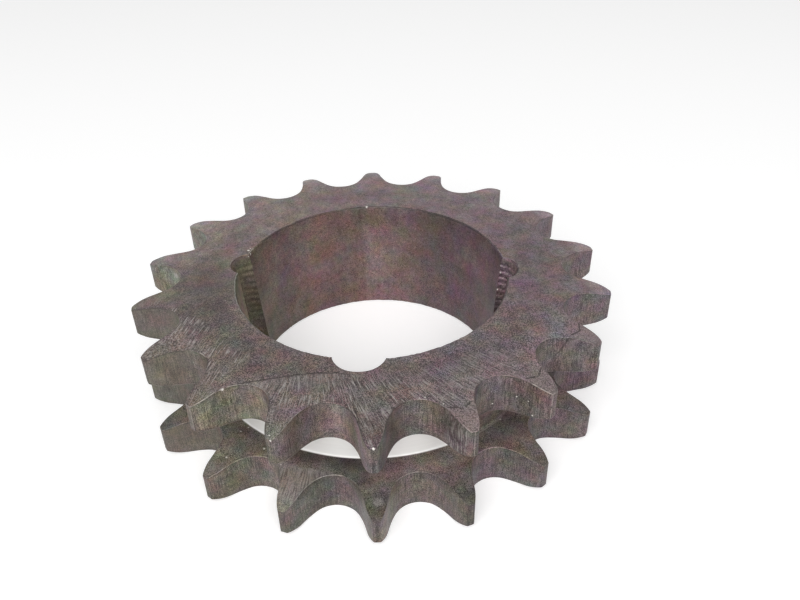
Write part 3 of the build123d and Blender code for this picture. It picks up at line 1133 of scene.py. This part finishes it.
def threaded():
    """The threads of the half-holes, dull with grime on the left and chipped bright on the right, with
    painted glints there and the painted shade of a hollow in the right one's mouth.
    """
    graph = Graph(bpy.data.materials.new("steel_thread"))
    z = graph.z
    colour, grain, _ = bore_steel(graph, 51)
    right = graph.x.ramp(-5, 5)
    colour = colour.under(MOSS_TINT, 0.9 - right * 0.9, "MULTIPLY")
    clumps = graph.noise(1.1, 3, 0.7, 61)
    high = z.ramp(12, 17)
    colour = colour.under(DIRT_AND_SHADE, clumps.ramp(0.52, 0.38) * (right * high * 0.5 + 0.2))
    colour = colour.under(SCUFF, z.ramp(WIDTH - 1.5, WIDTH - 0.7) * 0.35)
    colour = colour.times(z.ramp(14, 4) * (1 - right) * 0.45 + 1.06)
    # Painted shade of a hollow in the right hole's mouth.
    colour = colour.under(DIRT_AND_SHADE, graph.distance(CAVITY_SHADE).ramp(2.0, 0.7) * 0.65)
    # Bright chips on the right, partly painted glints.
    chips_and_glints = graph.noise(1.9, 2, 0.6, 62).ramp(0.58, 0.66) * right * high
    colour = nicked_and_glinting(graph, colour.under(RUBBED, chips_and_glints * 0.6))
    colour = colour.times(0.90 - z.ramp(4, 24) * 0.06)
    return graph.finish(colour, 0.72 - right * 0.2, grain + clumps, 0.03)


MATERIALS = {
    "face": face_steel(),
    "wall": wall_steel(),
    "groove": groove_steel(),
    "bore": bare_bore(),
    "thread": threaded(),
}


def placed(name, data):
    """A new object in the scene."""
    new = bpy.data.objects.new(name, data)
    bpy.context.scene.collection.objects.link(new)
    return new


def make_sprocket():
    """The mesh that stands for the CAD node."""
    vertices, faces, bands = assemble(*build_rings())
    vertices, faces = used_only(vertices, faces)
    mesh = bpy.data.meshes.new("sprocket_steel")
    mesh.from_pydata((vertices[:, :3] * METRE).tolist(), [], faces)
    names = list(MATERIALS)
    for name in names:
        mesh.materials.append(MATERIALS[name])
    mesh.polygons.foreach_set("material_index", [names.index(band) for band in bands])
    mesh.polygons.foreach_set("use_smooth", [True] * len(faces))
    for column, name in ((3, "near"), (4, "worn")):
        attribute = mesh.attributes.new(name, "FLOAT", "POINT")
        attribute.data.foreach_set("value", vertices[:, column])
    mesh.set_sharp_from_angle(angle=math.radians(SHARP_ANGLE))
    mesh.update()
    return placed("sprocket_steel", mesh)


# ---- the scene

def floor_paint():
    """White paint that keeps a soft shadow, lifted towards white where a camera or a reflection sees it."""
    graph = Graph(bpy.data.materials.new("floor_white"))
    far = graph.distance((0, 0, 0)).ramp(*FLOOR_FADE)
    lift = far * (1 - FLOOR_LIFT) + FLOOR_LIFT
    looks = {
        "Base Color": (FLOOR_COLOUR,) * 3,
        "Roughness": 1.0,
        "Specular IOR Level": 0.0,
        "Emission Color": (1, 1, 1),
        "Emission Strength": graph.seen() * lift,
    }
    for name, value in looks.items():
        graph.link(value, graph.tree.nodes["Principled BSDF"].inputs[name])
    return graph.owner


def make_floor():
    """A plain floor under the part."""
    mesh = bpy.data.meshes.new("floor")
    size = FLOOR_SIZE
    corners = [(-size, -size, 0), (size, -size, 0), (size, size, 0), (-size, size, 0)]
    mesh.from_pydata(corners, [], [(0, 1, 2, 3)])
    mesh.materials.append(floor_paint())
    return placed("floor", mesh)


def make_light():
    """An even white room, with one broad soft lamp high in front and a weak one low behind."""
    world = bpy.data.worlds.new("studio")
    bpy.context.scene.world = world
    graph = Graph(world)
    background = world.node_tree.nodes["Background"]
    graph.link((1, 1, 1), background.inputs["Color"])
    graph.link(graph.seen() * (1 - WORLD_STRENGTH) + WORLD_STRENGTH, background.inputs["Strength"])
    for name, (place, watts) in LAMPS.items():
        light = bpy.data.lights.new(name, "AREA")
        light.shape = "RECTANGLE"
        light.size, light.size_y = LAMP_SIZE
        light.energy = watts
        lamp = placed(name, light)
        lamp.location = place
        facing = Vector(LAMP_TARGET) - Vector(place)
        lamp.rotation_euler = facing.to_track_quat("-Z", "Y").to_euler()


def make_camera():
    """The camera of the photograph, found by fitting the part's edges to it."""
    data = bpy.data.cameras.new("camera")
    data.sensor_width = SENSOR_WIDTH
    data.lens = LENS
    camera = placed("camera", data)
    turn = Matrix.Rotation(math.radians(CAMERA_TURN), 4, "Z")
    tilt = Matrix.Rotation(math.radians(90 - CAMERA_DIP), 4, "X")
    roll = Matrix.Rotation(math.radians(CAMERA_ROLL), 4, "Z")
    camera.matrix_world = Matrix.Translation(CAMERA_PLACE) @ turn @ tilt @ roll
    bpy.context.scene.camera = camera


sprocket = make_sprocket()
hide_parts("sprocket")
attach(sprocket, "root")
make_floor()
make_light()
make_camera()
bpy.context.scene.view_settings.view_transform = "Standard"
